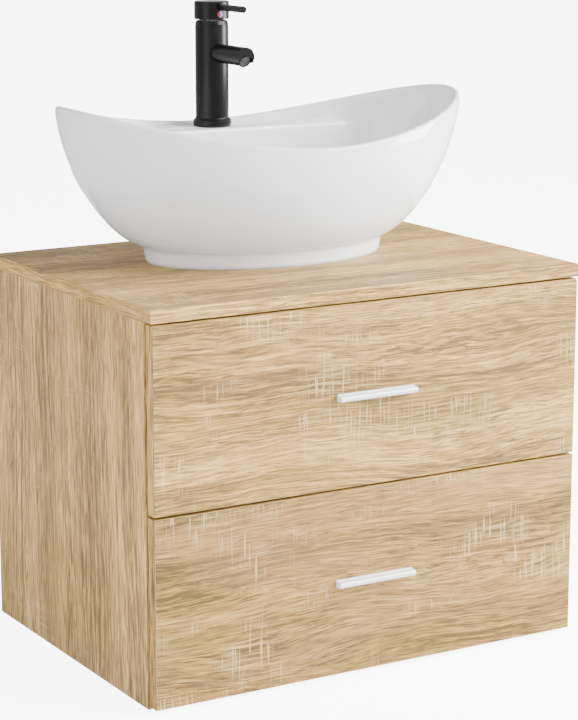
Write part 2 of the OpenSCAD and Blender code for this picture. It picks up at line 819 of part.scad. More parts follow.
// Conical ring that screws down over the cartridge nut
module tap_cover_ring() {
    color(black) at_tap(ring_z) difference() {
        rotate_extrude() polygon([[0, 0], [tap_d / 2, 0], [tap_d / 2, 0.6], [tap_d / 2 - 1.5, 5], [0, 5]]);
        translate([0, 0, -eps]) cylinder(d = tap_bore_d - 0.6, h = 8);
    }
}

module cartridge_nut() {
    color("goldenrod") at_tap(cartridge_z + 15.2) ring(tap_bore_d - 1, 31.4, ring_top_z - cartridge_z - 16);
}

module cartridge_body() {
    color(white) at_tap(cartridge_z) difference() {
        union() {
            cylinder(d = tap_bore_d - 2, h = 15);
            cylinder(d = 31, h = ring_top_z - cartridge_z - 2);
        }
        translate([0, 0, 6]) cylinder(d = turret_d + 2 * running, h = 60);
    }
}

// Turns with the lever; the stem rocks in its slot
module cartridge_turret() {
    slot_y = 16;
    color(white) difference() {
        at_tap(cartridge_z + 6.2) cylinder(d = turret_d, h = ring_top_z - 0.4 - cartridge_z - 6.2);
        at_tap(pivot_z) translate([-stem_x / 2 - 0.2, -slot_y / 2, -9]) cube([stem_x + 0.4, slot_y, 40]);
        at_tap(pivot_z) rod_x(pin_d, -tap_d, tap_d);
    }
}

module stem_pin() { color(steel) at_tap(pivot_z) rod_x(pin_d, -11.5, 11.5); }

module cartridge_stem() {
    color(steel) at_tap(pivot_z) difference() {
        translate([-stem_x / 2, -stem_y / 2, -7]) cube([stem_x, stem_y, cap_z + skirt_depth - pivot_z + 5]);
        rod_x(pin_d + 2 * running, -20, 20);
    }
}

module handle_cap() {
    edge = 0.8;
    r = cap_d / 2;
    color(black) difference() {
        at_tap(cap_z) rotate_extrude() polygon([[0, 0], [r - edge, 0], [r, edge], [r, cap_h - edge],
                                                [r - edge, cap_h], [0, cap_h]]);
        at_tap(cap_z - eps) difference() {
            cylinder(r = skirt_r, h = skirt_depth + eps);
            translate([0, 0, 3]) cylinder(d = boss_d, h = 40);
        }
        at_tap(cap_z - eps) translate([-stem_x / 2 - 0.05, -stem_y / 2 - 0.05, 0])
            cube([stem_x + 0.1, stem_y + 0.1, skirt_depth + 2.6]);
        at_tap(indicator_z) rotate([0, 0, 180]) rod_y(indicator_d, skirt_r - 2, 40);
        at_tap(indicator_z) rotate([0, 0, 180]) rod_y(grub_d, 0, 10);
        lever_axis() rod_y(lever_d, 14, 60);
    }
}

// Frame on the lever's axis, with +Y outwards
module lever_axis() { at_tap(lever_z) rotate([0, 0, 180]) children(); }

module lever_rod() {
    tip = 1.2;
    color(black) lever_axis() {
        rod_y(lever_d, 14, lever_reach - tip);
        translate([0, lever_reach - tip - 0.01, 0]) rotate([-90, 0, 0])
            cylinder(d1 = lever_d, d2 = lever_d - 2 * tip, h = tip);
    }
}

module temperature_indicator() {
    color("crimson") at_tap(indicator_z) rotate([0, 0, 180])
        rod_y(indicator_d - 0.1, skirt_r + 0.3, cap_d / 2 + 0.5);
}

module handle_grub_screw() {
    color(steel) at_tap(indicator_z) rotate([0, 0, 180]) rod_y(grub_d - 0.1, stem_y / 2, 9);
}

module tap_base_gasket() { color(black) at_tap(deck_z) ring(flange_d - 2, tap_hole_d, gasket_t); }

module tap_stud() {
    color("goldenrod") translate([0, stud_y, deck_z - 48]) cylinder(d = stud_d - 0.1, h = 48 + gasket_t + 14);
}

// Horseshoe plate under the deck, open at the front round the stud
module tap_horseshoe_washer() {
    z = deck_z - ceramic_t - 3.2;
    color(zinc) translate([0, 0, z]) difference() {
        translate([0, tap_y, 0]) cylinder(d = 38, h = 3);
        for (x = [-tail_x, tail_x]) translate([x, tap_y, -1]) cylinder(d = tail_d + 4, h = 6);
        translate([-2 * tail_x / 2, tap_y - 7, -1]) cube([2 * tail_x, 14, 6]);
        translate([0, stud_y, -1]) cylinder(d = stud_d + 0.6, h = 6);
    }
}

module tap_mounting_nut() {
    color("goldenrod") translate([0, stud_y, deck_z - ceramic_t - 10.4]) difference() {
        cylinder(d = 13 / cos(30), h = 7, $fn = 6);
        translate([0, 0, -1]) cylinder(d = stud_d + 0.1, h = 9);
    }
}

module inlet_tails() {
    color("peru") for (x = [-tail_x, tail_x]) translate([x, tap_y, tail_end_z]) difference() {
        union() {
            cylinder(d = tail_d, h = tail_free);
            cylinder(d = tail_upper_d - 0.1, h = body_z + 18 - tail_end_z);
        }
        translate([0, 0, -eps]) cylinder(d = tail_d - 2.4, h = 100);
    }
}

top_panel();
left_side_panel();
right_side_panel();
bottom_panel();
upper_back_rail();
lower_back_rail();
wall_brackets();
carcass_screws();
carcass_cam_locks();
carcass_cam_bolts();
carcass_dowels();
runner_cabinet_members();
upper_drawer_front();
upper_drawer_left_side();
upper_drawer_right_side();
upper_drawer_rear_walls();
upper_drawer_bottom();
upper_handle();
upper_handle_screws();
upper_runner_drawer_members();
upper_runner_middle_members();
lower_drawer_front();
lower_drawer_left_side();
lower_drawer_right_side();
lower_drawer_back();
lower_drawer_bottom();
lower_handle();
lower_handle_screws();
lower_runner_drawer_members();
lower_runner_middle_members();
basin();
waste_flange();
waste_seals();
waste_lock_nut();
waste_plug();
plug_seal();
trap_head();
trap_cup();
trap_coupling_nuts();
trap_outlet_pipe();
tap_body();
tap_spout();
aerator_housing();
aerator_insert();
tap_cover_ring();
cartridge_nut();
cartridge_body();
cartridge_turret();
stem_pin();
cartridge_stem();
handle_cap();
lever_rod();
temperature_indicator();
handle_grub_screw();
tap_base_gasket();
tap_stud();
tap_horseshoe_washer();
tap_mounting_nut();
inlet_tails();
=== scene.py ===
import json
from math import radians
from types import SimpleNamespace

import bmesh
import bpy
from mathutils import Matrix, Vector

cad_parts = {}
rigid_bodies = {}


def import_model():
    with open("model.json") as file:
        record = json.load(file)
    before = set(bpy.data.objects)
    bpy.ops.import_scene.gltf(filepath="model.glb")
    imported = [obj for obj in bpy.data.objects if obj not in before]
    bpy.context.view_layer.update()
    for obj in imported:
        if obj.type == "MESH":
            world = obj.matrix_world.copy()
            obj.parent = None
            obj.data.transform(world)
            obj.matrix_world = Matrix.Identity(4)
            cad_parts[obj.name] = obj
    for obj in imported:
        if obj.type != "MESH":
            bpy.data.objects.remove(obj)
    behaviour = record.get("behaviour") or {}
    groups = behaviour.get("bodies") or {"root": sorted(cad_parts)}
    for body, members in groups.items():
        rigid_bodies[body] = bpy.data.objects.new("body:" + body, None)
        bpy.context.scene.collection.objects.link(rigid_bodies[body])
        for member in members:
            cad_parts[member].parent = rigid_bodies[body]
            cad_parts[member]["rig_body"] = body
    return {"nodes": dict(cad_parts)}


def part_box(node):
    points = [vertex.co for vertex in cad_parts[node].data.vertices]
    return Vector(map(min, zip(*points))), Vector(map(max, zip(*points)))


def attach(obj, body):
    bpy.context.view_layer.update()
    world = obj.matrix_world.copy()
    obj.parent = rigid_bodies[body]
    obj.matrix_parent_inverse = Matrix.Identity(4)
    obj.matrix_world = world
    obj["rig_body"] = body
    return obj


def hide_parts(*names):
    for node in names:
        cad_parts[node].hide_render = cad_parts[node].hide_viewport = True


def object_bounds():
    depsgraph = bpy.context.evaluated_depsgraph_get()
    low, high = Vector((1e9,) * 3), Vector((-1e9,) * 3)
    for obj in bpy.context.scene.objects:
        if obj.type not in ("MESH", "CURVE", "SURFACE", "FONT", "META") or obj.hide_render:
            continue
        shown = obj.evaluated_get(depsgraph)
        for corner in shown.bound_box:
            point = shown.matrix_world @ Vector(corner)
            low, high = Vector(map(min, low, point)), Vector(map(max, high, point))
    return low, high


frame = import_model()
cad_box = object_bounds()

# ---- camera ----------------------------------------------------------------
# A long lens a good stride to the left of the middle and a little above the
# basin, so the left side, the two drawer fronts and the bowl are all seen.
lens = bpy.data.cameras.new("lens")
lens.lens = 117.28
lens.sensor_width = 36.0
camera = bpy.data.objects.new("camera", lens)
camera.location = (-1.4756, -2.5147, 0.9834)
camera.rotation_euler = (radians(90 - 12.31), 0, radians(-30.58))
bpy.context.scene.collection.objects.link(camera)
bpy.context.scene.camera = camera

# ---- studio ----------------------------------------------------------------
# A pale matt floor lit through like a product table and a white surround. One
# large soft light stands at the front right, a weaker one at the left, and a
# tall one on the right draws a bright line down the tap.


def node(tree, kind, inputs=None, **settings):
    """Add one shader node; an input is a value or another node's output."""
    made = tree.nodes.new(kind)
    for key, value in settings.items():
        setattr(made, key, value)
    for key, value in (inputs or {}).items():
        if isinstance(value, bpy.types.NodeSocket):
            tree.links.new(value, made.inputs[key])
        else:
            made.inputs[key].default_value = value
    return made


def finish_material(name, **sockets):
    """A new material with an empty Principled shader; sockets set its plain values."""
    material = bpy.data.materials.new(name)
    material.use_nodes = True
    shader = material.node_tree.nodes["Principled BSDF"]
    for key, value in sockets.items():
        shader.inputs[key.replace("_", " ")].default_value = value
    return material, material.node_tree, shader


def new_piece(name, shape, materials):
    """Put a finished bmesh into the scene as an object at the origin."""
    mesh = bpy.data.meshes.new(name)
    shape.to_mesh(mesh)
    shape.free()
    for material in materials:
        mesh.materials.append(material)
    piece = bpy.data.objects.new(name, mesh)
    bpy.context.scene.collection.objects.link(piece)
    return piece


floor_paint, tree, shader = finish_material("floor_paint", Roughness=0.9)
where = node(tree, "ShaderNodeTexCoord").outputs["Object"]
cloud = node(tree, "ShaderNodeTexNoise", {"Vector": where, "Scale": 0.7, "Detail": 3.0})
pale = node(tree, "ShaderNodeValToRGB", {"Fac": cloud.outputs["Fac"]})
pale.color_ramp.elements[0].color = (0.86, 0.86, 0.86, 1)
pale.color_ramp.elements[1].color = (0.92, 0.92, 0.92, 1)
tree.links.new(pale.outputs["Color"], shader.inputs["Base Color"])
seen = node(tree, "ShaderNodeLightPath").outputs["Is Camera Ray"]
floor_glow = 8.0
glow = node(tree, "ShaderNodeMath", {0: seen, 1: floor_glow}, operation="MULTIPLY")
tree.links.new(pale.outputs["Color"], shader.inputs["Emission Color"])
tree.links.new(glow.outputs[0], shader.inputs["Emission Strength"])
floor_half = 30
floor_gap = 0.0015
shape = bmesh.new()
bmesh.ops.create_grid(shape, x_segments=1, y_segments=1, size=floor_half)
bmesh.ops.translate(shape, verts=shape.verts, vec=(0, 0, cad_box[0][2] - floor_gap))
floor = new_piece("floor", shape, [floor_paint])

surround_strength = 0.85
world = bpy.data.worlds.new("white_surround")
world.use_nodes = True
surround = world.node_tree.nodes["Background"]
surround.inputs["Color"].default_value = (1, 1, 1, 1)
surround.inputs["Strength"].default_value = surround_strength
bpy.context.scene.world = world

# each lamp's place, the height it aims at, its width and height, and its power
for name, place, aim_z, width, height, power in [
    ("soft_key", (2.7, -2.4, 2.9), 0.4, 3.0, 3.0, 530.0),
    ("left_fill", (-3.2, -1.2, 1.6), 0.4, 2.4, 2.4, 64.0),
    ("right_strip", (2.6, -0.85, 0.75), 0.6, 1.1, 2.0, 240.0),
]:
    lamp = bpy.data.lights.new(name, type="AREA")
    lamp.shape = "RECTANGLE"
    lamp.size = width
    lamp.size_y = height
    lamp.energy = power
    light = bpy.data.objects.new(name, lamp)
    light.location = place
    aim = Vector((0, 0, aim_z)) - Vector(place)
    light.rotation_euler = aim.to_track_quat("-Z", "Y").to_euler()
    bpy.context.scene.collection.objects.link(light)

# ---- oak boards ------------------------------------------------------------
# Sixteen millimetre chipboard faced with a printed oak melamine: plain-sawn
# grain, short dark pores and pale saw marks. The faces are pressed as large
# sheets; the edges carry a separate strip of the same print, ironed on.
oak_light = (0.61, 0.388, 0.132, 1)
oak_mid = (0.345, 0.212, 0.064, 1)
oak_dark = (0.095, 0.058, 0.023, 1)


def stretched(tree, vector, along, across, detail=2.0, rough=0.5, shift=0.0):
    """Noise on coordinates scaled along and across the grain."""
    stretch = (along, across, 1.0)
    scaled = node(tree, "ShaderNodeVectorMath", {0: vector, 1: stretch}, operation="MULTIPLY")
    moved = node(tree, "ShaderNodeVectorMath", {0: scaled.outputs[0], 1: (shift, shift * 0.7, shift * 1.3)})
    settings = {"Vector": moved.outputs[0], "Scale": 1.0, "Detail": detail, "Roughness": rough}
    return node(tree, "ShaderNodeTexNoise", settings).outputs["Fac"]


def math(tree, operation, a, b=0.0, clamp=False):
    """One arithmetic node's value."""
    made = node(tree, "ShaderNodeMath", {0: a, 1: b}, operation=operation, use_clamp=clamp)
    return made.outputs[0]


def between(tree, value, low, high):
    """The value stretched so that low gives 0 and high gives 1, with soft ends."""
    return node(tree, "ShaderNodeMapRange", {"Value": value, "From Min": low, "From Max": high},
                interpolation_type="SMOOTHSTEP").outputs[0]


def mixed(tree, amount, a, b):
    """A colour mix; its factor and two colours are inputs 0, 6 and 7, its colour output 2."""
    return node(tree, "ShaderNodeMix", {0: amount, 6: a, 7: b}, data_type="RGBA").outputs[2]


def times(tree, a, b):
    """The product of two values."""
    return math(tree, "MULTIPLY", a, b)


oak_print = bpy.data.node_groups.new("oak_print", "ShaderNodeTree")
face = oak_print.interface
face.new_socket("Vector", in_out="INPUT", socket_type="NodeSocketVector")
for label in ("Light", "Middle", "Dark"):
    face.new_socket(label, in_out="INPUT", socket_type="NodeSocketColor")
for label in ("Swirl", "Saw Marks"):
    face.new_socket(label, in_out="INPUT", socket_type="NodeSocketFloat")
face.new_socket("Color", in_out="OUTPUT", socket_type="NodeSocketColor")
face.new_socket("Height", in_out="OUTPUT", socket_type="NodeSocketFloat")
tree = oak_print
given = node(tree, "NodeGroupInput")
vector = given.outputs["Vector"]
parts = node(tree, "ShaderNodeSeparateXYZ", {0: vector})

# the grain lines wander across the board, more where the swirl is strong
slow_wander = 0.075
quick_wander = 0.008
slow = math(tree, "SUBTRACT", stretched(tree, vector, 2.0, 7.0, 1.5), 0.5)
quick = math(tree, "SUBTRACT", stretched(tree, vector, 14.0, 30.0, 2.0, 0.5, 4.0), 0.5)
wander = math(tree, "ADD", times(tree, slow, slow_wander), times(tree, quick, quick_wander))
across = math(tree, "ADD", parts.outputs["Y"], times(tree, wander, given.outputs["Swirl"]))
grain = node(tree, "ShaderNodeCombineXYZ", {"X": parts.outputs["X"], "Y": across}).outputs[0]

# growth rings some twelve millimetres apart, that darken slowly and end sharply
rings_per_metre = 84.0
band = stretched(tree, grain, 1.5, 24.0, 2.0, 0.55, 2.0)
ring_at = math(tree, "ADD", across, times(tree, band, 0.05))
ring_step = math(tree, "FRACT", times(tree, ring_at, rings_per_metre))
ring_end = between(tree, math(tree, "SUBTRACT", 1.0, ring_step), 0.0, 0.08)
ring_zone = between(tree, stretched(tree, grain, 1.8, 10.0, 1.0, 0.5, 9.0), 0.46, 0.62)
ring = times(tree, times(tree, between(tree, ring_step, 0.1, 0.92), ring_end), ring_zone)

# fine fibres and ripple, short dark pores in zones, and pale streaks
fibre = stretched(tree, grain, 30.0, 640.0, 5.0, 0.66, 1.0)
ripple = between(tree, stretched(tree, grain, 26.0, 560.0, 1.0, 0.5, 18.0), 0.44, 0.58)
pore_zone = between(tree, stretched(tree, grain, 4.0, 34.0, 1.0, 0.5, 12.0), 0.38, 0.60)
pore = between(tree, stretched(tree, grain, 50.0, 620.0, 2.0, 0.55, 6.0), 0.56, 0.64)
pore = times(tree, pore, pore_zone)
streak = between(tree, stretched(tree, grain, 7.0, 230.0, 2.0, 0.5, 15.0), 0.56, 0.68)

# saw marks: pale cross lines and pale grain lines, only inside scattered patches
patch = between(tree, stretched(tree, vector, 8.0, 12.0, 2.0, 0.6, 21.0), 0.52, 0.66)
cuts = between(tree, stretched(tree, vector, 430.0, 22.0, 0.0, 0.5, 24.0), 0.60, 0.70)
lines = between(tree, stretched(tree, grain, 18.0, 430.0, 0.0, 0.5, 27.0), 0.58, 0.70)
marks = math(tree, "MAXIMUM", cuts, times(tree, lines, 0.6))
marks = times(tree, times(tree, marks, patch), given.outputs["Saw Marks"])

# how dark the print is, then its colours, from the palest wood to the pores
shade = 0.0
for layer, weight in (
    (between(tree, band, 0.28, 0.74), 0.42),
    (ring, 0.36),
    (between(tree, fibre, 0.38, 0.62), 0.50),
    (ripple, 0.32),
):
    shade = math(tree, "ADD", shade, times(tree, layer, weight))
shade = math(tree, "SUBTRACT", shade, times(tree, streak, 0.28), clamp=True)
olive_wood = (0.31, 0.21, 0.043, 1)
rose_wood = (0.43, 0.24, 0.11, 1)
sawn_pale = (0.74, 0.57, 0.28, 1)
warm = stretched(tree, grain, 2.0, 14.0, 2.0, 0.5, 31.0)
olive = between(tree, warm, 0.48, 0.70)
rose = math(tree, "SUBTRACT", 1.0, between(tree, warm, 0.30, 0.48))
wood = mixed(tree, between(tree, shade, 0.05, 0.60), given.outputs["Light"], given.outputs["Middle"])
wood = mixed(tree, between(tree, shade, 0.52, 1.15), wood, given.outputs["Dark"])
wood = mixed(tree, times(tree, pore, 0.80), wood, given.outputs["Dark"])
wood = mixed(tree, times(tree, olive, 0.24), wood, olive_wood)
wood = mixed(tree, times(tree, rose, 0.24), wood, rose_wood)
wood = mixed(tree, times(tree, marks, 0.55), wood, sawn_pale)
pressed = math(tree, "SUBTRACT", times(tree, fibre, 0.5), pore)
pressed = math(tree, "ADD", pressed, times(tree, marks, 0.4))
node(tree, "NodeGroupOutput", {"Color": wood, "Height": pressed})


def oak_material(name, tint, swirl, saw_marks):
    """Oak print on a piece's own board coordinates, tinted lighter or darker per piece; on the lower front
    the tint is painted shade, on the sides painted light.
    """
    material, tree, shader = finish_material(name, IOR=1.45, Specular_IOR_Level=0.22)
    place = node(tree, "ShaderNodeUVMap", uv_map="board").outputs[0]
    group = node(tree, "ShaderNodeGroup", {"Vector": place}, node_tree=oak_print)
    for label, colour in (("Light", oak_light), ("Middle", oak_mid), ("Dark", oak_dark)):
        group.inputs[label].default_value = [c * t for c, t in zip(colour, tint)] + [1]
    group.inputs["Swirl"].default_value = swirl
    group.inputs["Saw Marks"].default_value = saw_marks
    height = group.outputs["Height"]
    levels = {"Value": height, "From Min": -0.8, "From Max": 0.6, "To Min": 0.62, "To Max": 0.44}
    rough = node(tree, "ShaderNodeMapRange", levels)
    press = node(tree, "ShaderNodeBump", {"Height": height, "Strength": 0.35, "Distance": 0.0003})
    # the light that the wood throws on the basin is made paler than the wood itself
    bounced = times(tree, node(tree, "ShaderNodeLightPath").outputs["Is Diffuse Ray"], 0.75)
    seen = mixed(tree, bounced, group.outputs["Color"], (0.50, 0.48, 0.46, 1))
    tree.links.new(seen, shader.inputs["Base Color"])
    tree.links.new(rough.outputs[0], shader.inputs["Roughness"])
    tree.links.new(press.outputs[0], shader.inputs["Normal"])
    return material


oak_face = oak_material("oak_face", (1.17, 1.15, 1.07), 1.0, 1.0)
# the lower front's copy of the oak is darkened and browned: painted shade
oak_lower_face_painted_shade = oak_material("oak_lower_face_painted_shade", (0.87, 0.84, 0.74), 1.0, 1.0)
# the sides' copy of the oak is lightened and cooled as painted light, with less swirl and fewer saw marks
oak_side_face_painted_light = oak_material("oak_side_face_painted_light", (1.52, 1.56, 1.72), 0.55, 0.7)
oak_edge = oak_material("oak_edge", (1.34, 1.32, 1.24), 0.12, 0.0)


def merged_copy(source):
    """A CAD node's loose triangles as one closed shape with flat faces whole."""
    same_point = 2e-6
    flat = radians(0.8)
    shape = bmesh.new()
    shape.from_mesh(frame["nodes"][source].data)
    bmesh.ops.remove_doubles(shape, verts=shape.verts, dist=same_point)
    bmesh.ops.dissolve_limit(shape, angle_limit=flat, verts=shape.verts, edges=shape.edges)
    return shape


def ease_edges(shape, rims, ease, steps):
    """Break the given edges with a small round."""
    bmesh.ops.bevel(shape, geom=rims, offset=ease, offset_type="OFFSET", segments=steps, profile=0.5,
                    affect="EDGES", material=-1, clamp_overlap=True)


def stand_in(piece, source):
    """The piece rides, shows and is finished in place of its CAD node."""
    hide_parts(source)
    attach(piece, frame["nodes"][source]["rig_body"])


def oak_board(name, source, grain_axis, shift, face_material):
    """A board's copy with eased outer edges and board coordinates on every face."""
    ease = 0.0007
    touch = 1e-5
    sharp = 1.0
    strip_from = 3.1
    shape = merged_copy(source)
    low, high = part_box(source)
    size = high - low
    thick = min(range(3), key=lambda axis: size[axis])
    cross = 3 - thick - grain_axis

    def outer(v):
        """Whether a corner point lies on two or more sides of the board's box."""
        near = [min(abs(v.co[a] - low[a]), abs(v.co[a] - high[a])) < touch for a in range(3)]
        return sum(near) >= 2

    rims = [e for e in shape.edges if len(e.link_faces) == 2 and e.calc_face_angle() > sharp
            and all(outer(v) for v in e.verts)]
    ease_edges(shape, rims, ease, 2)
    # board coordinates: along the grain and across it, or round the edge strip
    board = shape.loops.layers.uv.new("board")
    for f in shape.faces:
        f.smooth = True
        facing = max(range(3), key=lambda axis: abs(f.normal[axis]))
        along, over, drop = grain_axis, cross, 0.0
        if facing != thick or abs(f.normal[facing]) <= 0.95:
            along = grain_axis if facing != grain_axis else cross
            over, drop = thick, strip_from + 0.7 * facing
            f.material_index = 1
        for loop in f.loops:
            place = loop.vert.co
            loop[board].uv = (place[along] + shift, place[over] + 1.7 * shift + drop)
    piece = new_piece(name, shape, [face_material, oak_edge])
    piece.modifiers.new("flat_shading", "WEIGHTED_NORMAL")
    stand_in(piece, source)


# each board with its grain's axis, and where on the printed sheet it was cut
x_grain, z_grain = 0, 2
oak_board("oak_top_board", "top_panel", x_grain, 0.4, oak_face)
oak_board("oak_left_side", "left_side_panel", z_grain, 1.3, oak_side_face_painted_light)
oak_board("oak_right_side", "right_side_panel", z_grain, 2.1, oak_side_face_painted_light)
oak_board("oak_bottom_board", "bottom_panel", x_grain, 3.4, oak_face)
oak_board("upper_front_board", "upper_drawer_front", x_grain, 5.2, oak_face)
oak_board("lower_front_board", "lower_drawer_front", x_grain, 7.9, oak_lower_face_painted_shade)

# ---- boards and fixings inside the cabinet ---------------------------------
# The drawer boxes and back rails are plain sand melamine, the drawer bottoms
# white hardboard let into grooves. Beech dowels, cam locks and zinc plated
# screws draw the carcass together; two steel brackets hang it on the wall.
handled = bpy.data.node_groups.new("handled", "ShaderNodeTree")
face = handled.interface
for label, kind in (("Vector", "NodeSocketVector"), ("Grain", "NodeSocketFloat")):
    face.new_socket(label, in_out="INPUT", socket_type=kind)
for label in ("Smudge", "Grit"):
    face.new_socket(label, in_out="OUTPUT", socket_type="NodeSocketFloat")
given = node(handled, "NodeGroupInput")
vector = given.outputs["Vector"]
smudge = node(handled, "ShaderNodeTexNoise", {"Vector": vector, "Scale": 32.0, "Detail": 4.0})
smudge = between(handled, smudge.outputs["Fac"], 0.32, 0.68)
grit = node(handled, "ShaderNodeTexNoise", {"Vector": vector, "Scale": given.outputs["Grain"], "Detail": 2.0})
node(handled, "NodeGroupOutput", {"Smudge": smudge, "Grit": grit.outputs["Fac"]})


def handled_finish(name, fresh, worn, gloss, grain, depth, **sockets):
    """A finish whose colour and roughness drift with handling over a fine grit."""
    material, tree, shader = finish_material(name, **sockets)
    where = node(tree, "ShaderNodeTexCoord").outputs["Object"]
    group = node(tree, "ShaderNodeGroup", {"Vector": where, "Grain": grain}, node_tree=handled)
    tint = mixed(tree, group.outputs["Smudge"], fresh, worn)
    levels = {"Value": group.outputs["Smudge"], "To Min": gloss[0], "To Max": gloss[1]}
    rough = node(tree, "ShaderNodeMapRange", levels)
    skin = node(tree, "ShaderNodeBump", {"Height": group.outputs["Grit"], "Strength": 0.4, "Distance": depth})
    tree.links.new(tint, shader.inputs["Base Color"])
    tree.links.new(rough.outputs[0], shader.inputs["Roughness"])
    tree.links.new(skin.outputs[0], shader.inputs["Normal"])
    return SimpleNamespace(material=material, tree=tree, shader=shader, where=where, tint=tint,
                           skin=skin.outputs[0])


def drawn_lines(finish, stretch, detail=2.0):
    """Noise drawn out into lines along the axes that are stretched least."""
    thread = node(finish.tree, "ShaderNodeVectorMath", {0: finish.where, 1: stretch}, operation="MULTIPLY")
    settings = {"Vector": thread.outputs[0], "Scale": 1.0, "Detail": detail}
    return node(finish.tree, "ShaderNodeTexNoise", settings).outputs["Fac"]


def recolour(finish, amount, colour):
    """Let another colour through by the given amount."""
    finish.tint = mixed(finish.tree, amount, finish.tint, colour)
    finish.tree.links.new(finish.tint, finish.shader.inputs["Base Color"])


def paint_nodes(finish, *names):
    """Give CAD nodes that are shown as they are their finish."""
    for name in names:
        materials = frame["nodes"][name].data.materials
        materials.clear()
        materials.append(finish.material)


melamine = handled_finish("sand_melamine", (0.60, 0.46, 0.30, 1), (0.55, 0.41, 0.26, 1), (0.42, 0.55), 700.0,
                          0.0001, Specular_IOR_Level=0.3)
streaks = between(melamine.tree, drawn_lines(melamine, (26.0, 26.0, 600.0), 3.0), 0.5, 0.7)
recolour(melamine, times(melamine.tree, streaks, 0.35), (0.40, 0.28, 0.16, 1))
paint_nodes(melamine, "upper_back_rail", "lower_back_rail")
paint_nodes(melamine, "upper_drawer_left_side", "upper_drawer_right_side", "upper_drawer_rear_walls")
paint_nodes(melamine, "lower_drawer_left_side", "lower_drawer_right_side", "lower_drawer_back")

hardboard = handled_finish("white_hardboard", (0.74, 0.74, 0.73, 1), (0.66, 0.66, 0.64, 1), (0.45, 0.62),
                           520.0, 0.0002)
pits = node(hardboard.tree, "ShaderNodeTexVoronoi", {"Vector": hardboard.where, "Scale": 420.0})
pits = between(hardboard.tree, pits.outputs["Distance"], 0.55, 0.75)
recolour(hardboard, times(hardboard.tree, pits, 0.25), (0.42, 0.38, 0.33, 1))
paint_nodes(hardboard, "upper_drawer_bottom", "lower_drawer_bottom")

beech = handled_finish("beech", (0.62, 0.40, 0.22, 1), (0.50, 0.30, 0.15, 1), (0.6, 0.75), 900.0, 0.0001)
rays = between(beech.tree, drawn_lines(beech, (90.0, 1500.0, 1500.0)), 0.55, 0.7)
recolour(beech, rays, (0.33, 0.18, 0.08, 1))
paint_nodes(beech, "carcass_dowels")

plated = handled_finish("zinc_plate", (0.60, 0.62, 0.65, 1), (0.46, 0.47, 0.48, 1), (0.26, 0.44), 1600.0,
                        0.00005, Metallic=1.0)
spangle = node(plated.tree, "ShaderNodeTexVoronoi", {"Vector": plated.where, "Scale": 260.0})
pale = node(plated.tree, "ShaderNodeSeparateColor", {0: spangle.outputs["Color"]})
recolour(plated, times(plated.tree, pale.outputs[0], 0.4), (0.72, 0.72, 0.66, 1))
paint_nodes(plated, "wall_brackets", "carcass_screws", "carcass_cam_bolts")
paint_nodes(plated, "upper_handle_screws", "lower_handle_screws")

die_cast = handled_finish("die_cast_zinc", (0.44, 0.44, 0.45, 1), (0.33, 0.33, 0.34, 1), (0.42, 0.6), 1200.0,
                          0.0002, Metallic=1.0)
paint_nodes(die_cast, "carcass_cam_locks")

# ---- drawer runners --------------------------------------------------------
# Three nested channels a side, rolled from galvanised strip, so the bright
# draw lines run front to back; a film of grease dulls them in patches.


def emboss(finish, height, strength, depth):
    """Raise a pattern over the finish's grit."""
    settings = {"Height": height, "Strength": strength, "Distance": depth, "Normal": finish.skin}
    relief = node(finish.tree, "ShaderNodeBump", settings)
    finish.tree.links.new(relief.outputs[0], finish.shader.inputs["Normal"])


runner = handled_finish("galvanised_strip", (0.66, 0.67, 0.69, 1), (0.50, 0.51, 0.52, 1), (0.24, 0.42),
                        1500.0, 0.00004, Metallic=1.0)
drawn = drawn_lines(runner, (1400.0, 9.0, 1400.0))
recolour(runner, times(runner.tree, drawn, 0.5), (0.38, 0.39, 0.40, 1))
emboss(runner, drawn, 0.35, 0.00008)
paint_nodes(runner, "runner_cabinet_members")
for drawer in ("upper", "lower"):
    paint_nodes(runner, drawer + "_runner_drawer_members", drawer + "_runner_middle_members")

# ---- basin -----------------------------------------------------------------
# A vessel basin cast in vitreous china, its rim sweeping up at both ends, with
# a deck for the tap at the back, standing on a foot ring. It is dipped in white
# glaze, and faces that look up are painted a touch bluer as painted cool light.
glaze, tree, shader = finish_material("white_glaze", IOR=1.52, Specular_IOR_Level=0.5)
where = node(tree, "ShaderNodeTexCoord").outputs["Object"]
clouds = node(tree, "ShaderNodeTexNoise", {"Vector": where, "Scale": 7.0, "Detail": 3.0})
flecks = node(tree, "ShaderNodeTexNoise", {"Vector": where, "Scale": 900.0, "Detail": 1.0})
tint = mixed(tree, clouds.outputs["Fac"], (0.84, 0.848, 0.86, 1), (0.90, 0.905, 0.915, 1))
normal = node(tree, "ShaderNodeNewGeometry").outputs["Normal"]
facing = node(tree, "ShaderNodeSeparateXYZ", {0: normal})
# faces that look up are tinted bluer: painted cool light on the bowl and rim tops
painted_cool_top = times(tree, between(tree, facing.outputs["Z"], 0.2, 0.9), 0.6)
tint = mixed(tree, painted_cool_top, tint, (0.83, 0.83, 0.90, 1))
fleck = times(tree, between(tree, flecks.outputs["Fac"], 0.70, 0.80), 0.05)
tint = mixed(tree, fleck, tint, (0.60, 0.58, 0.55, 1))
tree.links.new(tint, shader.inputs["Base Color"])
sheen = node(tree, "ShaderNodeMapRange", {"Value": clouds.outputs["Fac"], "To Min": 0.07, "To Max": 0.13})
tree.links.new(sheen.outputs[0], shader.inputs["Roughness"])
waves = node(tree, "ShaderNodeTexNoise", {"Vector": where, "Scale": 24.0, "Detail": 1.0})
swell = node(tree, "ShaderNodeBump", {"Height": waves.outputs["Fac"], "Strength": 0.12, "Distance": 0.0006})
tree.links.new(swell.outputs[0], shader.inputs["Normal"])

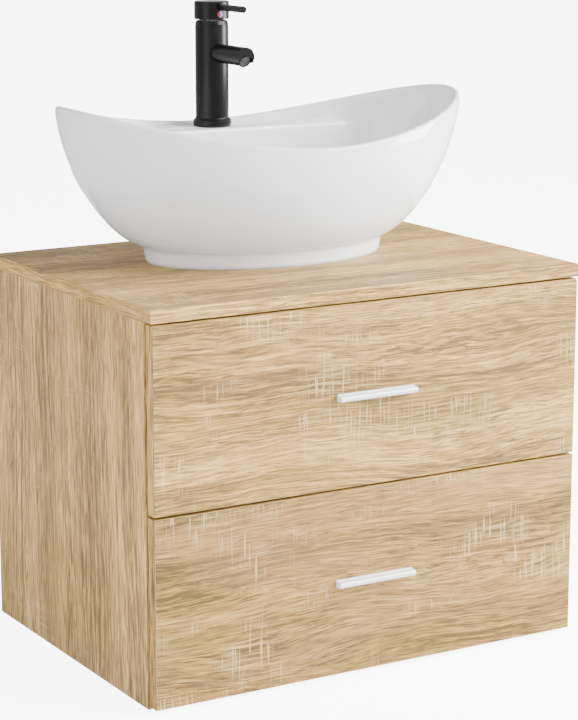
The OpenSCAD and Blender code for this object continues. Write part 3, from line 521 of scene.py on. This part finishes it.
# the casting is rounded, but the foot's lower edge and the holes stay crisp
touch = 1e-5
foot_edge, sharp_edge = radians(20), radians(50)
foot_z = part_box("basin")[0].z
shape = merged_copy("basin")
creases = shape.edges.layers.float.new("crease_edge")
for e in shape.edges:
    on_counter = all(abs(v.co.z - foot_z) < touch for v in e.verts)
    if len(e.link_faces) == 2 and e.calc_face_angle() > (foot_edge if on_counter else sharp_edge):
        e[creases] = 1.0
bmesh.ops.join_triangles(shape, faces=[f for f in shape.faces if len(f.verts) == 3],
                         angle_face_threshold=radians(40), angle_shape_threshold=radians(60))
for f in shape.faces:
    f.smooth = True
basin = new_piece("basin_casting", shape, [glaze])
rounded = basin.modifiers.new("smooth_casting", "SUBSURF")
rounded.levels = rounded.render_levels = 2
stand_in(basin, "basin")

# ---- waste and trap --------------------------------------------------------
# A click waste: chromed brass flange and plug in the bowl, rubber seals, a
# chromed lock nut below, then a bottle trap in white polypropylene moulded in
# parts and screwed together by hand nuts, with a pipe back to the wall.
chrome = handled_finish("chrome", (0.66, 0.67, 0.69, 1), (0.58, 0.59, 0.61, 1), (0.06, 0.15), 1400.0, 0.00002,
                        Metallic=1.0)
paint_nodes(chrome, "waste_flange", "waste_lock_nut", "waste_plug")

rubber = handled_finish("black_rubber", (0.018, 0.018, 0.019, 1), (0.03, 0.03, 0.03, 1), (0.62, 0.82), 1100.0,
                        0.00012, Specular_IOR_Level=0.3)
paint_nodes(rubber, "waste_seals", "plug_seal")

moulded = handled_finish("white_polypropylene", (0.78, 0.78, 0.77, 1), (0.70, 0.70, 0.68, 1), (0.30, 0.46),
                         800.0, 0.00008, Subsurface_Weight=0.08, Subsurface_Scale=0.004)
settings = {"Vector": moulded.where, "Scale": 9.0, "Detail": 2.0, "Distortion": 1.2}
flow = node(moulded.tree, "ShaderNodeTexNoise", settings)
flow = between(moulded.tree, flow.outputs["Fac"], 0.5, 0.7)
recolour(moulded, times(moulded.tree, flow, 0.3), (0.70, 0.69, 0.62, 1))
paint_nodes(moulded, "trap_head", "trap_cup", "trap_coupling_nuts", "trap_outlet_pipe")

# ---- tap -------------------------------------------------------------------
# A single lever tap in turned brass: body with a foot flange, spout, turned
# collar and cap, all with softly broken edges under a matt black coat.
black, tree, shader = finish_material("matt_black_coat", Specular_IOR_Level=0.18)
where = node(tree, "ShaderNodeTexCoord").outputs["Object"]
grit = node(tree, "ShaderNodeTexNoise", {"Vector": where, "Scale": 1500.0, "Detail": 2.0})
wiped = node(tree, "ShaderNodeTexNoise", {"Vector": where, "Scale": 28.0, "Detail": 3.0})
wiped_on = between(tree, wiped.outputs["Fac"], 0.35, 0.7)
coat = mixed(tree, wiped_on, (0.003, 0.003, 0.0032, 1), (0.006, 0.006, 0.0064, 1))
coat = mixed(tree, times(tree, grit.outputs["Fac"], 0.10), coat, (0.02, 0.02, 0.02, 1))
rub = node(tree, "ShaderNodeMapRange", {"Value": wiped.outputs["Fac"], "To Min": 0.27, "To Max": 0.31})
skin = node(tree, "ShaderNodeBump", {"Height": grit.outputs["Fac"], "Strength": 0.25, "Distance": 0.00006})
tree.links.new(coat, shader.inputs["Base Color"])
tree.links.new(rub.outputs[0], shader.inputs["Roughness"])
tree.links.new(skin.outputs[0], shader.inputs["Normal"])


def eased_copy(name, source, ease, finish):
    """A part's copy with its sharp edges broken by the tumbling or turning tool."""
    sharp = radians(28)
    shape = merged_copy(source)
    rims = [e for e in shape.edges if len(e.link_faces) == 2 and e.calc_face_angle() > sharp]
    ease_edges(shape, rims, ease, 3)
    for f in shape.faces:
        f.smooth = True
    piece = new_piece(name, shape, [finish])
    piece.modifiers.new("flat_shading", "WEIGHTED_NORMAL")
    stand_in(piece, source)


for name, source, ease in (
    ("tap_column", "tap_body", 0.0005),
    ("tap_spout_tube", "tap_spout", 0.0008),
    ("aerator_cup", "aerator_housing", 0.0005),
    ("tap_collar", "tap_cover_ring", 0.0004),
    ("tap_cap", "handle_cap", 0.0009),
    ("tap_lever_rod", "lever_rod", 0.0006),
):
    eased_copy(name, source, ease, black)

# ---- inside and under the tap ----------------------------------------------
# A plastic cartridge held by a turned brass nut, its steel stem pinned and
# screwed to the cap. Below the basin a brass stud, horseshoe washer and nut
# clamp the tap on its gasket, and two brass tails take the water in.
brass = handled_finish("turned_brass", (0.72, 0.50, 0.20, 1), (0.55, 0.36, 0.13, 1), (0.22, 0.38), 1300.0,
                       0.00004, Metallic=1.0)
turned = drawn_lines(brass, (40.0, 40.0, 2600.0))
recolour(brass, times(brass.tree, turned, 0.5), (0.50, 0.31, 0.10, 1))
emboss(brass, turned, 0.4, 0.00008)
paint_nodes(brass, "cartridge_nut", "tap_stud", "tap_mounting_nut", "inlet_tails")
paint_nodes(plated, "tap_horseshoe_washer", "cartridge_stem", "stem_pin", "handle_grub_screw")
paint_nodes(moulded, "cartridge_body", "cartridge_turret")
paint_nodes(rubber, "tap_base_gasket")

# the mesh in the aerator: fine square cells that lie flat across the tilted outlet
wires_per_metre = 1700.0
outlet_tilt = radians(60)
aerator = handled_finish("aerator_mesh", (0.26, 0.26, 0.27, 1), (0.18, 0.18, 0.185, 1), (0.35, 0.5), 1500.0,
                         0.00005, Metallic=0.6)
tree = aerator.tree
square = node(tree, "ShaderNodeMapping", {"Vector": aerator.where, "Rotation": (outlet_tilt, 0, 0)})
cells = node(tree, "ShaderNodeSeparateXYZ", {0: square.outputs[0]})
wires = [math(tree, "PINGPONG", times(tree, cells.outputs[axis], wires_per_metre), 0.5) for axis in "XY"]
# the gaps between the wires are painted near black: painted shade standing in for the dark seen through the
# mesh's holes
painted_shade_gaps = between(tree, times(tree, *wires), 0.05, 0.12)
recolour(aerator, painted_shade_gaps, (0.01, 0.01, 0.011, 1))
emboss(aerator, math(tree, "SUBTRACT", 1.0, painted_shade_gaps), 0.6, 0.0002)
paint_nodes(aerator, "aerator_insert")

# the temperature mark: a printed plastic stud, hot half red and cold half blue
mark = handled_finish("printed_mark", (0.17, 0.21, 0.40, 1), (0.14, 0.17, 0.36, 1), (0.22, 0.34), 1500.0,
                      0.00004)
halves = node(mark.tree, "ShaderNodeSeparateXYZ", {0: mark.where})
hot = math(mark.tree, "SUBTRACT", 1.0, between(mark.tree, halves.outputs["X"], -0.0003, 0.0003))
recolour(mark, hot, (0.13, 0.002, 0.005, 1))
paint_nodes(mark, "temperature_indicator")

# ---- handles ---------------------------------------------------------------
# Short bar handles cut from an extruded aluminium section, satin anodised to
# near white: a thin lip stands up against the front over a rounded nose.
anodised, tree, shader = finish_material("satin_anodised", Metallic=0.25, IOR=1.5)
where = node(tree, "ShaderNodeTexCoord").outputs["Object"]
drawn = stretched(tree, where, 12.0, 2600.0, 2.0)
tint = mixed(tree, drawn, (0.80, 0.81, 0.83, 1), (0.92, 0.92, 0.93, 1))
tree.links.new(tint, shader.inputs["Base Color"])
rub = node(tree, "ShaderNodeMapRange", {"Value": drawn, "To Min": 0.30, "To Max": 0.42})
tree.links.new(rub.outputs[0], shader.inputs["Roughness"])
lines = node(tree, "ShaderNodeBump", {"Height": drawn, "Strength": 0.2, "Distance": 0.00005})
tree.links.new(lines.outputs[0], shader.inputs["Normal"])
for drawer in ("upper", "lower"):
    eased_copy(drawer + "_bar_handle", drawer + "_handle", 0.0004, anodised)
